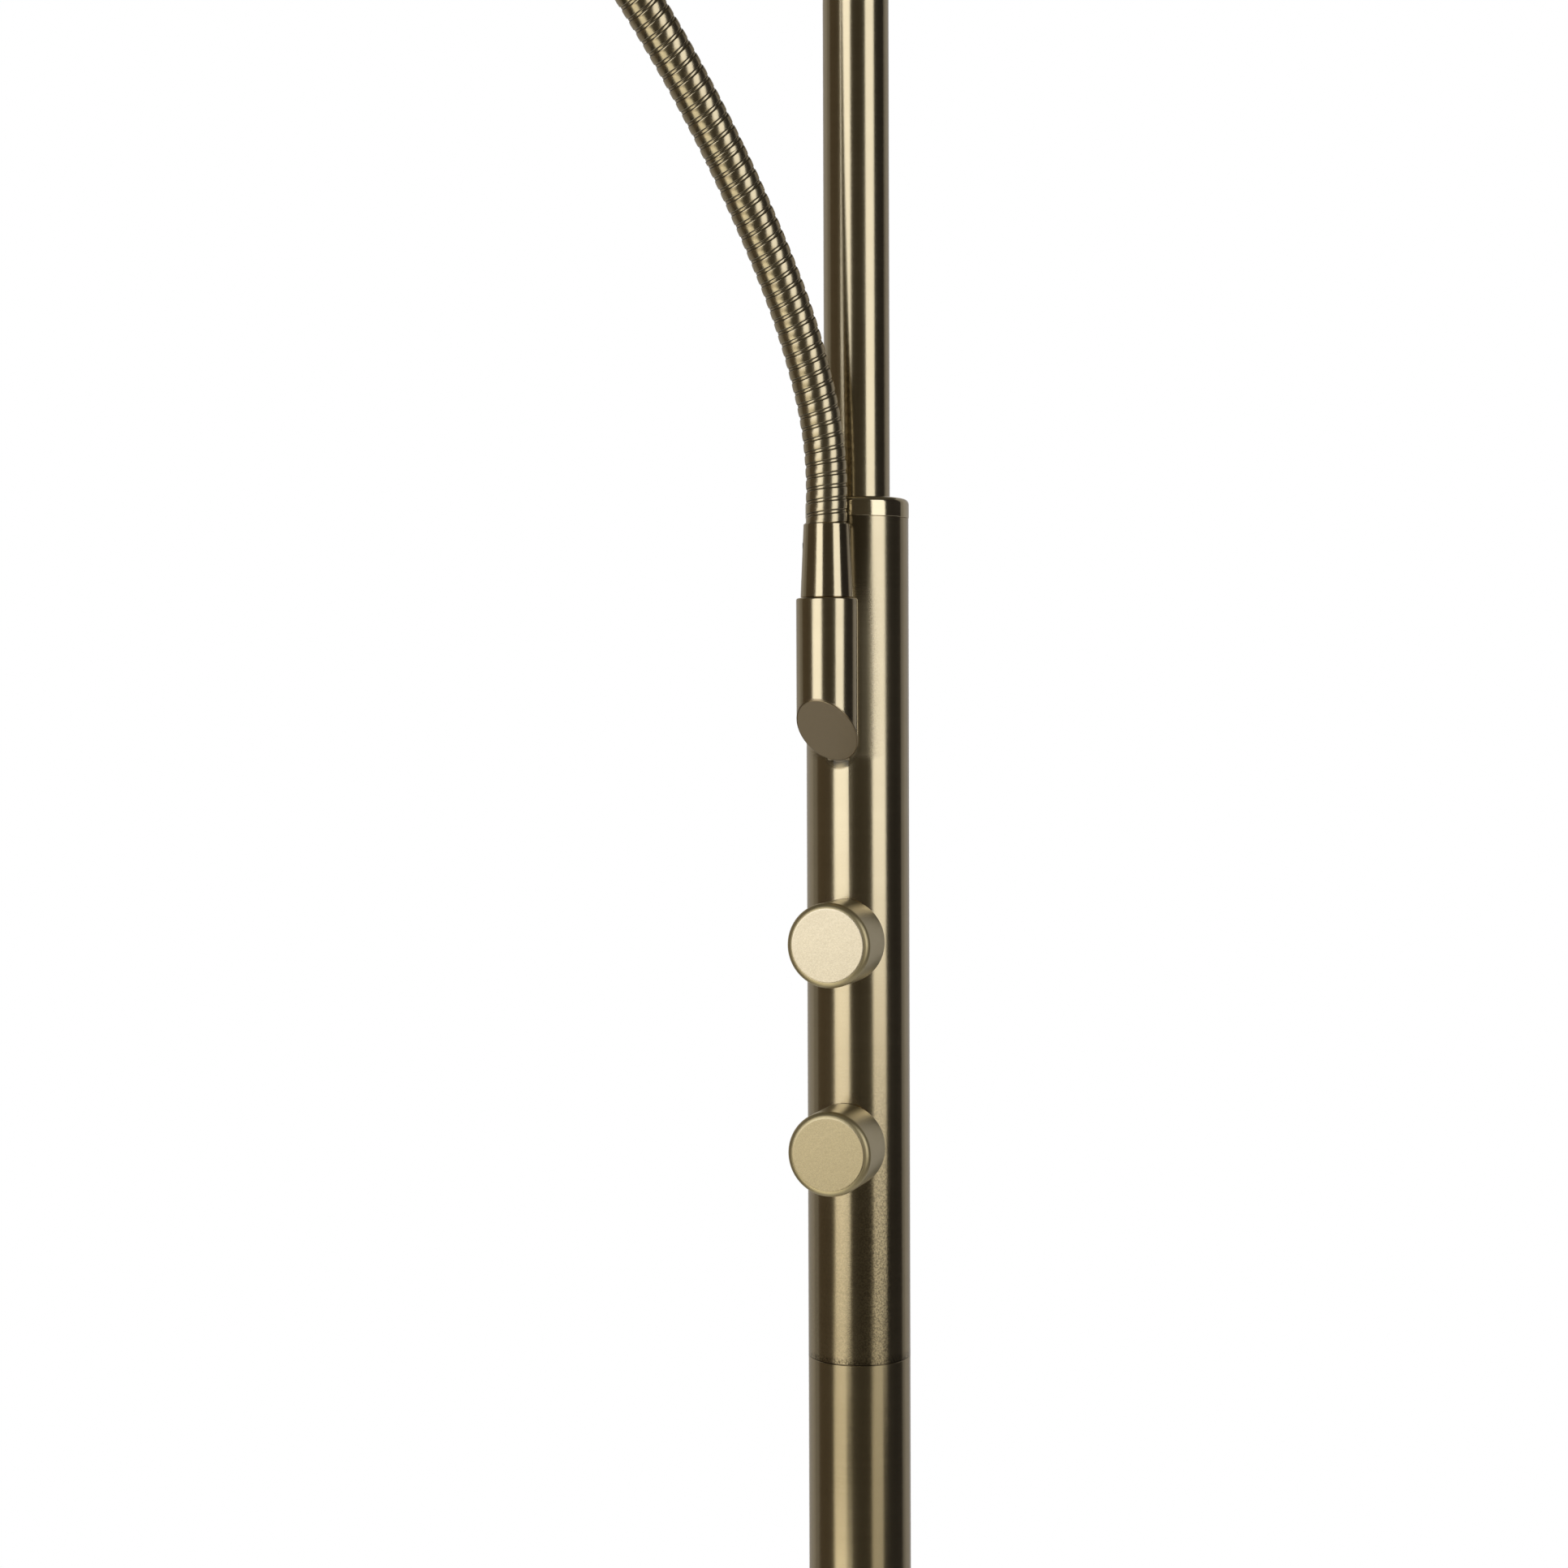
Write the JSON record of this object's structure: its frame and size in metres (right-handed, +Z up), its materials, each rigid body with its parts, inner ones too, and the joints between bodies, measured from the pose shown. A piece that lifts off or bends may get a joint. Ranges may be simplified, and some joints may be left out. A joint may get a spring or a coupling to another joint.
{
  "type": "floor lamp with reading light",
  "caption": "Slim floor lamp with a round foot, an uplight dish on a stepped pole, rotary dimmer knobs and a flexible ribbed reading arm.",
  "frame": {"origin": "on the floor, at the centre of the foot's felt pad, under the pole's axis", "axes": "+Z up along the pole, -Y the way the knobs face, +X to the right of someone facing them"},
  "size_m": [0.3564, 0.4301, 1.8],
  "materials": {
    "bronze": "antique bronze plating over steel, brushed round, lacquered",
    "knob": "turned, bead-blasted face, pale bronze anodised",
    "neck": "wound steel gooseneck, bronze plated",
    "steel": "zinc plated",
    "ballast": "raw casting",
    "felt": "black felt",
    "black_plastic": "moulded",
    "circuit_board": "solder mask",
    "wire": "flexible sheath",
    "aluminium": "plain",
    "diode": "phosphor",
    "opal": "opal acrylic"
  },
  "bodies": {
    "stand": {"base_cover": "bronze", "lower_pole": "bronze", "middle_pole": "bronze", "control_tube": "bronze", "top_collar": "bronze", "upper_pole": "bronze", "neck_holder": "bronze", "dish_hub": "bronze", "dish_shell": "bronze", "dish_ring": "bronze", "base_plate": "steel", "base_plate_screws": "steel", "base_stud": "steel", "base_washer": "steel", "base_nut": "steel", "pole_end_plugs": "steel", "pole_joint_studs": "steel", "dimmer_nuts": "steel", "upper_pole_plug": "steel", "dish_stud": "steel", "dish_nut": "steel", "dish_standoffs": "steel", "carrier_screws": "steel", "base_weight": "ballast", "base_pad": "felt", "cord_gland": "black_plastic", "terminal_block": "black_plastic", "upper_dimmer": "black_plastic", "lower_dimmer": "black_plastic", "control_board": "circuit_board", "led_ring_board": "circuit_board", "pole_wire": "wire", "uplight_wire": "wire", "neck_wire": "wire", "led_carrier": "aluminium", "led_chips": "diode", "dish_diffuser": "opal"},
    "upper_control": {"upper_knob": "knob", "upper_shaft": "steel"},
    "lower_control": {"lower_knob": "knob", "lower_shaft": "steel"},
    "neck_base": {"neck_ferrule": "bronze", "neck_grub_screw": "steel", "neck_span_1": "neck"},
    "neck_2": {"neck_span_2": "neck"},
    "neck_3": {"neck_span_3": "neck"},
    "neck_4": {"neck_span_4": "neck"},
    "neck_5": {"neck_span_5": "neck"},
    "neck_6": {"neck_span_6": "neck"},
    "reading_head": {"neck_span_7": "neck", "head_ferrule": "bronze", "head_grub_screw": "steel", "head_shell": "bronze", "head_nut": "steel", "head_heat_sink": "aluminium", "head_led_board": "circuit_board", "head_led": "diode", "head_reflector": "aluminium", "head_lens": "opal", "head_ring": "bronze"}
  },
  "joints": [
    {"name": "upper_knob_turn", "type": "hinge", "parent": "stand", "child": "upper_control", "pos_m": [0, -0.0125, 1.10185], "axis": [0, -1, 0], "range_deg": [-300, 0]},
    {"name": "lower_knob_turn", "type": "hinge", "parent": "stand", "child": "lower_control", "pos_m": [0, -0.0125, 1.05265], "axis": [0, -1, 0], "range_deg": [-300, 0]},
    {"name": "neck_swivel", "type": "hinge", "parent": "stand", "child": "neck_base", "pos_m": [-0.00206, -0.01959, 1.1836], "axis": [0, 0, 1], "range_deg": [-60, 90], "deforming": ["neck_wire"]},
    {"name": "neck_bend_1", "type": "hinge", "parent": "neck_base", "child": "neck_2", "pos_m": [-0.01063, -0.03056, 1.25883], "axis": [0.788, -0.6157, 0], "range_deg": [-22, 12], "deforming": ["neck_wire"]},
    {"name": "neck_bend_2", "type": "hinge", "parent": "neck_2", "child": "neck_3", "pos_m": [-0.03018, -0.05558, 1.30963], "axis": [0.788, -0.6157, 0], "range_deg": [-22, 12], "deforming": ["neck_wire"]},
    {"name": "neck_bend_3", "type": "hinge", "parent": "neck_3", "child": "neck_4", "pos_m": [-0.05551, -0.088, 1.35313], "axis": [0.788, -0.6157, 0], "range_deg": [-22, 12], "deforming": ["neck_wire"]},
    {"name": "neck_bend_4", "type": "hinge", "parent": "neck_4", "child": "neck_5", "pos_m": [-0.08906, -0.13095, 1.37657], "axis": [0.788, -0.6157, 0], "range_deg": [-22, 12], "deforming": ["neck_wire"]},
    {"name": "neck_bend_5", "type": "hinge", "parent": "neck_5", "child": "neck_6", "pos_m": [-0.12535, -0.1774, 1.36989], "axis": [0.788, -0.6157, 0], "range_deg": [-22, 12], "deforming": ["neck_wire"]},
    {"name": "neck_bend_6", "type": "hinge", "parent": "neck_6", "child": "reading_head", "pos_m": [-0.15483, -0.21513, 1.33485], "axis": [0.788, -0.6157, 0], "range_deg": [-22, 12], "deforming": ["neck_wire"]}
  ]
}
